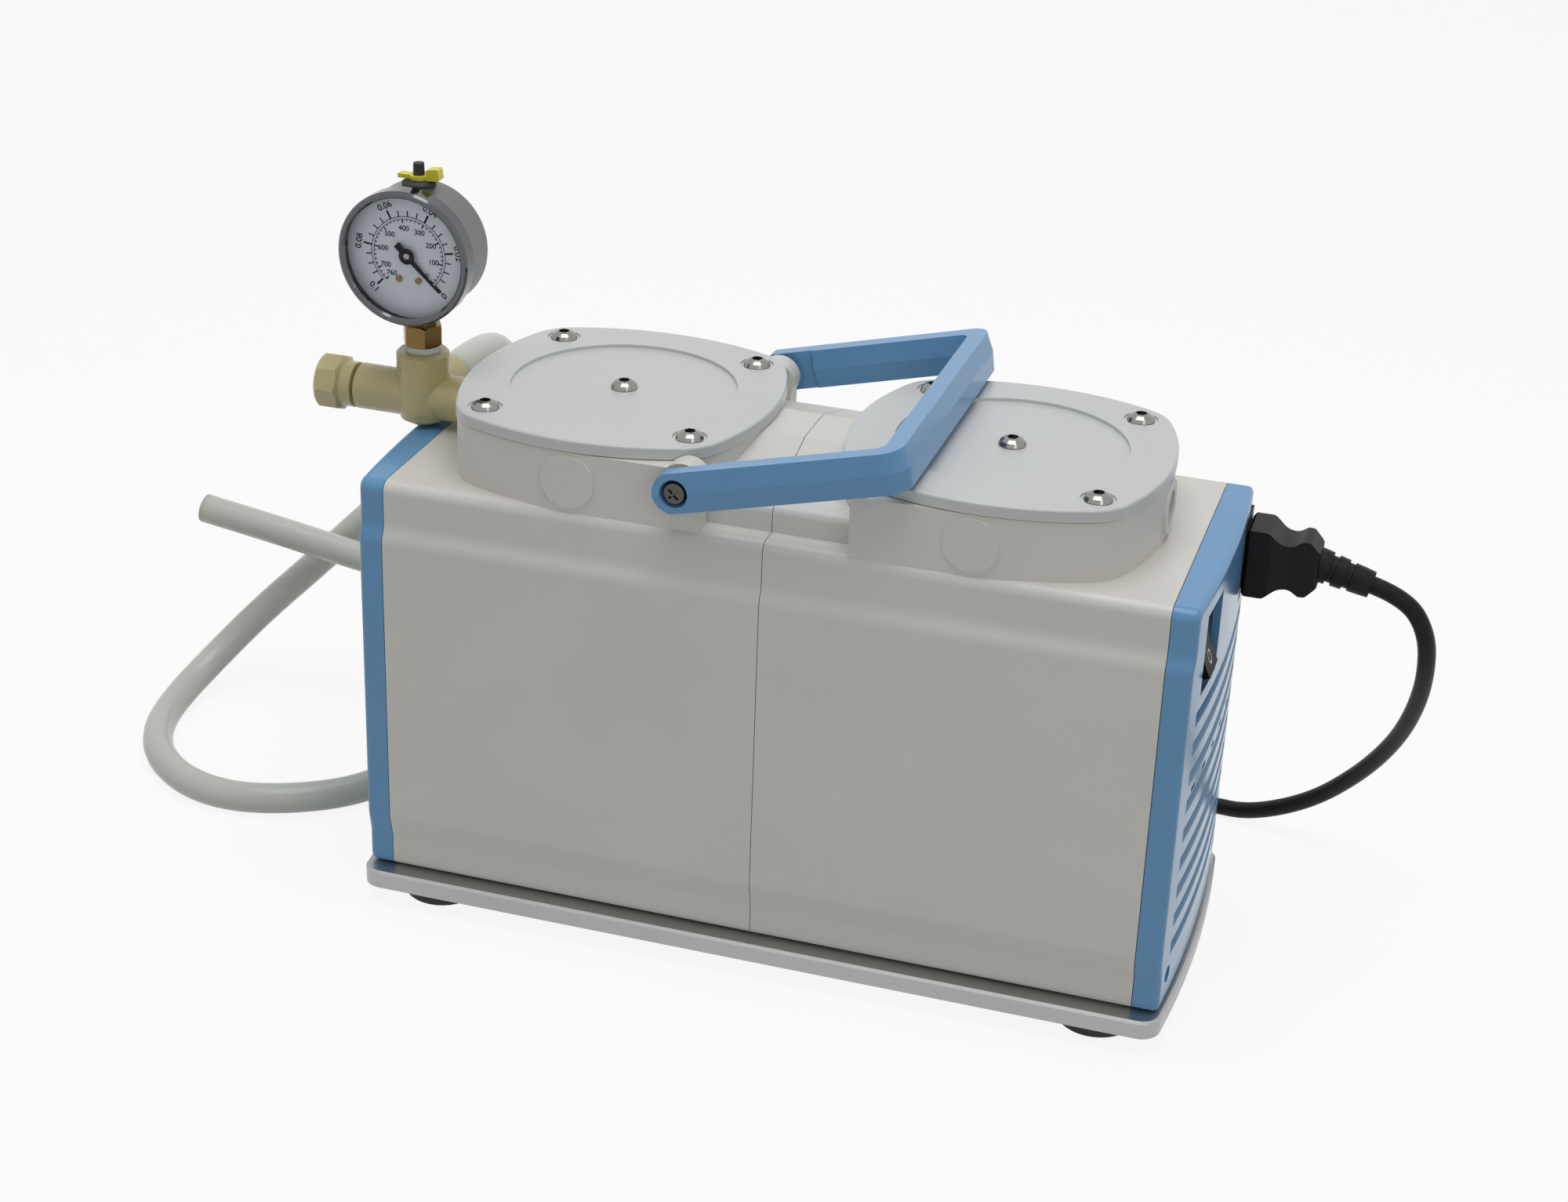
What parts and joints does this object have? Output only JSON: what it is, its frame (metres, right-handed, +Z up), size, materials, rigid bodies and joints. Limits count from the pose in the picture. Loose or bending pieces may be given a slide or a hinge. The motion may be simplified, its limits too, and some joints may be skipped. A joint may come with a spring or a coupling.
{
  "type": "diaphragm vacuum pump",
  "caption": "Oil-free diaphragm vacuum pump with twin heads on a common motor, carrying handle, gauge with bleed valve, intake hose, rocker switch and mains lead.",
  "frame": {"origin": "middle of the pump's own length and width, without its hose and lead, on the surface that the four rubber feet stand on", "axes": "+X towards the end with the switch and mains inlet, +Y to the back, +Z up"},
  "size_m": [0.5515, 0.2509, 0.2881],
  "materials": {
    "white_casting": "warm off-white powder coat with a fine orange-peel texture",
    "grey_cover": "light grey powder coat",
    "satin_plate": "satin anodised plate",
    "black_rubber": "moulded black rubber",
    "zinc_screw": "zinc-plated steel",
    "chrome_screw": "bright plated",
    "blue_plastic": "glossy light blue moulding",
    "black_plastic": "black nylon, fine grain",
    "gloss_black": "glossy black moulding",
    "bare_aluminium": "machined aluminium",
    "steel": "ground steel",
    "spring_steel": "thin stainless strip",
    "cast_weight": "cast iron",
    "laminations": "lacquered laminations",
    "copper": "varnished copper wire",
    "diaphragm_rubber": "fabric-reinforced rubber",
    "gasket_black": "gasket",
    "fan_plastic": "black fan moulding",
    "capacitor_case": "pale capacitor case",
    "nylon": "yellowish natural nylon",
    "tape": "white sealing tape",
    "brass_metal": "machined brass",
    "gauge_steel": "polished stainless steel",
    "clear_glass": "clear window",
    "dial_white": "white dial",
    "needle_black": "black pointer",
    "yellow_plastic": "yellow tab",
    "silicone": "milky translucent silicone",
    "cord_black": "black sheath"
  },
  "bodies": {
    "pump": {"base_plate": "satin_plate", "rubber_feet": "black_rubber", "base_screws": "zinc_screw", "base_pads": "black_rubber", "left_housing": "white_casting", "right_housing": "white_casting", "left_end_cap": "blue_plastic", "right_end_cap": "blue_plastic", "cap_screws": "zinc_screw", "left_head_cover": "grey_cover", "right_head_cover": "grey_cover", "cover_screws": "zinc_screw", "head_gaskets": "gasket_black", "left_valve_plate": "bare_aluminium", "right_valve_plate": "bare_aluminium", "reed_valves": "spring_steel", "left_diaphragm": "diaphragm_rubber", "right_diaphragm": "diaphragm_rubber", "main_bearings": "steel", "stator_core": "laminations", "windings": "copper", "capacitor": "capacitor_case", "handle_bushes": "brass_metal", "handle_screws": "chrome_screw", "switch_frame": "black_plastic", "power_inlet": "black_plastic", "cord_connector": "cord_black", "strain_relief": "cord_black", "power_cord": "cord_black", "cord_coil": "cord_black", "cord_tail": "cord_black", "mains_plug": "cord_black", "intake_tee": "nylon", "gauge_stem": "brass_metal", "seal_tape": "tape", "gauge_case": "gauge_steel", "gauge_bezel": "gauge_steel", "gauge_glass": "clear_glass", "gauge_dial": "dial_white", "gauge_movement": "brass_metal", "gauge_plug": "black_rubber", "plug_tab": "yellow_plastic", "intake_hose": "silicone"},
    "crank": {"crankshaft": "steel", "left_eccentric": "cast_weight", "right_eccentric": "cast_weight", "rotor": "laminations", "left_fan": "fan_plastic", "right_fan": "fan_plastic"},
    "left_rod_body": {"left_rod": "bare_aluminium", "left_rod_bearing": "steel", "left_clamp_discs": "steel"},
    "right_rod_body": {"right_rod": "bare_aluminium", "right_rod_bearing": "steel", "right_clamp_discs": "steel"},
    "handle_body": {"handle": "blue_plastic"},
    "rocker_body": {"rocker": "gloss_black"},
    "needle_body": {"gauge_needle": "needle_black"},
    "bleed_body": {"bleed_screw": "brass_metal"},
    "knob_body": {"regulator_knob": "nylon"}
  },
  "joints": [
    {"name": "shaft_spin", "type": "hinge", "parent": "pump", "child": "crank", "pos_m": [0.0192, 0, 0.0858], "axis": [1, 0, 0], "continuous": true, "deforming": ["left_diaphragm", "right_diaphragm"]},
    {"name": "left_rod_pivot", "type": "hinge", "parent": "crank", "child": "left_rod_body", "pos_m": [-0.0573, 0, 0.0893], "axis": [1, 0, 0], "continuous": true},
    {"name": "right_rod_pivot", "type": "hinge", "parent": "crank", "child": "right_rod_body", "pos_m": [0.0957, 0, 0.0823], "axis": [1, 0, 0], "continuous": true},
    {"name": "handle_pivot", "type": "hinge", "parent": "pump", "child": "handle_body", "pos_m": [-0.0128, 0, 0.1995], "axis": [0, -1, 0], "range_deg": [0, 148]},
    {"name": "rocker_pivot", "type": "hinge", "parent": "pump", "child": "rocker_body", "pos_m": [0.1758, -0.035, 0.1588], "axis": [0, 1, 0], "range_deg": [0, 18]},
    {"name": "needle_pivot", "type": "hinge", "parent": "pump", "child": "needle_body", "pos_m": [-0.1412, 0, 0.2548], "axis": [0, -1, 0], "range_deg": [0, 270]},
    {"name": "bleed_slide", "type": "slide", "parent": "pump", "child": "bleed_body", "axis": [-1, 0, 0], "range_m": [0, 0.003]},
    {"name": "regulator_turn", "type": "hinge", "parent": "bleed_body", "child": "knob_body", "pos_m": [-0.1768, 0, 0.1938], "axis": [-1, 0, 0], "range_deg": [0, 1080]}
  ],
  "couplings": [
    {"joint": "left_rod_pivot", "follows": "shaft_spin", "ratio": -1},
    {"joint": "right_rod_pivot", "follows": "shaft_spin", "ratio": -1},
    {"joint": "regulator_turn", "follows": "bleed_slide", "rad_per_m": 6283.2}
  ]
}
